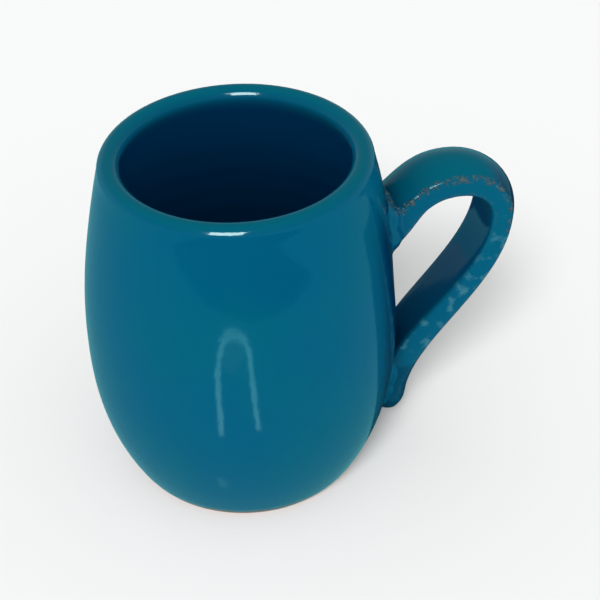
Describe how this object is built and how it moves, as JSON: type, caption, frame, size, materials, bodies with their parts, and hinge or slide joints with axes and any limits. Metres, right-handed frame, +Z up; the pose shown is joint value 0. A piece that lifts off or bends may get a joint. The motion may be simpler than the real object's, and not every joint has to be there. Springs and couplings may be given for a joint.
{
  "type": "clay mug",
  "caption": "Small thrown clay mug with a full belly, thick round lip and ear-shaped strap handle, glazed all over in glossy petrol blue except its flat foot.",
  "frame": {"origin": "centre of the flat foot, on the surface the mug stands on", "axes": "+Z up along the cup's axis, +X from the cup towards the handle, which lies in the XZ plane; the foot faces -Z"},
  "size_m": [0.1226, 0.088, 0.1014],
  "materials": {
    "clay": "bare fired red clay, matt",
    "slip": "fired slip, matt",
    "glazed_coil": "glossy petrol blue glaze over lumpy slip, thin and brown on the ridges",
    "liner_glaze": "glossy petrol blue glaze",
    "outer_glaze": "glossy petrol blue glaze",
    "handle_glaze": "glossy petrol blue glaze, pitted along the creases"
  },
  "bodies": {
    "root": {"cup_body": "clay", "handle_strap": "clay", "upper_slip_pad": "slip", "lower_slip_pad": "slip", "upper_root_coil": "glazed_coil", "lower_root_coil": "glazed_coil", "liner_glaze": "liner_glaze", "outer_glaze": "outer_glaze", "handle_glaze": "handle_glaze"}
  },
  "joints": []
}
